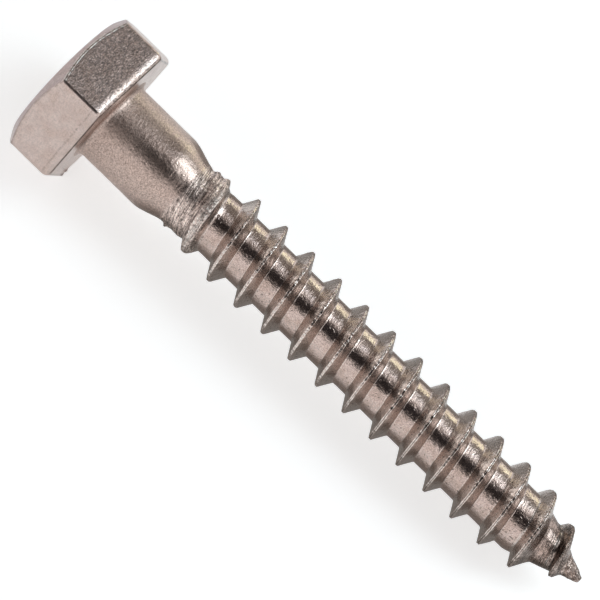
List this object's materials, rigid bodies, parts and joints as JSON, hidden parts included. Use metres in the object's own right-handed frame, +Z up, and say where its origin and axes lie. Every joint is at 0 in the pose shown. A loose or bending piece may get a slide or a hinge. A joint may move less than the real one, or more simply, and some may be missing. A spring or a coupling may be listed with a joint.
{
  "type": "lag screw",
  "caption": "Short hex-head lag screw in stainless steel: plain shank, soft shoulder, coarse wood thread and gimlet point, lying on its side.",
  "frame": {"origin": "bottom centre of the screw's bounding box as it lies, on the table line under the head's edge and the thread", "axes": "+X along the screw from head to point, +Z up, with one flat of the hexagon facing up"},
  "size_m": [0.0488, 0.0128, 0.0113],
  "materials": {
    "stainless_steel": "bare stainless steel, cold forged and thread rolled, with drawn grain on the head, a dull mottled shank and a burnished thread"
  },
  "bodies": {
    "root": {"lag_screw": "stainless_steel"}
  },
  "joints": []
}
